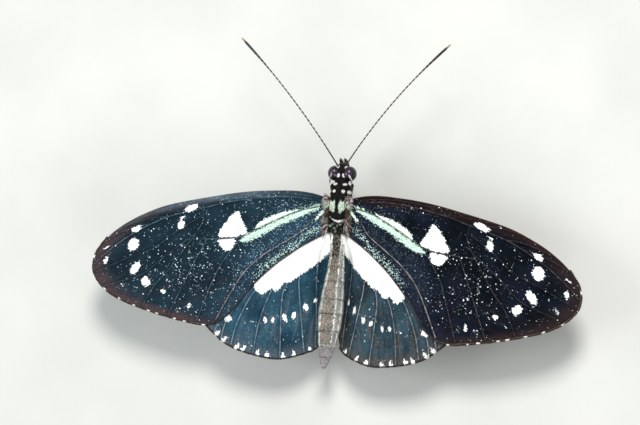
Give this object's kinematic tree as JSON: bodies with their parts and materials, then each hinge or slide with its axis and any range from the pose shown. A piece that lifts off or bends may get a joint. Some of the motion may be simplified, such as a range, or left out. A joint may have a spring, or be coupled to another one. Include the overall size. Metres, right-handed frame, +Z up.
{
  "type": "false zebra longwing butterfly",
  "caption": "Life-size longwing butterfly standing with its narrow dark wings spread flat, white forewing spots and a white hindwing bar, slender body and clubbed antennae.",
  "frame": {"origin": "middle of the underside of the butterfly's box, on the floor that its feet stand on", "axes": "+Z up, +Y towards the head, +X to the butterfly's right, along the span of the wings"},
  "size_m": [0.0782, 0.0506, 0.0139],
  "materials": {
    "body": "short black scales and hair with white and pale green spots",
    "abdomen": "grey-brown scales with pale side lines",
    "eye": "glossy, finely faceted, dark purple-brown",
    "antenna": "black with fine pale rings",
    "palp": "brown and black bristly scales",
    "proboscis": "dark, ringed",
    "tegula": "whitish and grey scale tufts",
    "forewing": "blue-black scales with white spots and pale green stripes",
    "hindwing": "blue-black scales with a white bar and marginal white dashes",
    "leg": "dark scaled legs, pale underneath"
  },
  "bodies": {
    "root": {"head": "body", "collar": "body", "thorax": "body", "abdomen": "abdomen", "proboscis": "proboscis", "eye_left": "eye", "eye_right": "eye", "antenna_left": "antenna", "antenna_right": "antenna", "palp_left": "palp", "palp_right": "palp", "tegula_left": "tegula", "tegula_right": "tegula", "forewing_left": "forewing", "forewing_right": "forewing", "hindwing_left": "hindwing", "hindwing_right": "hindwing", "leg_fore_left": "leg", "leg_fore_right": "leg", "leg_mid_left": "leg", "leg_mid_right": "leg", "leg_hind_left": "leg", "leg_hind_right": "leg"}
  },
  "joints": []
}
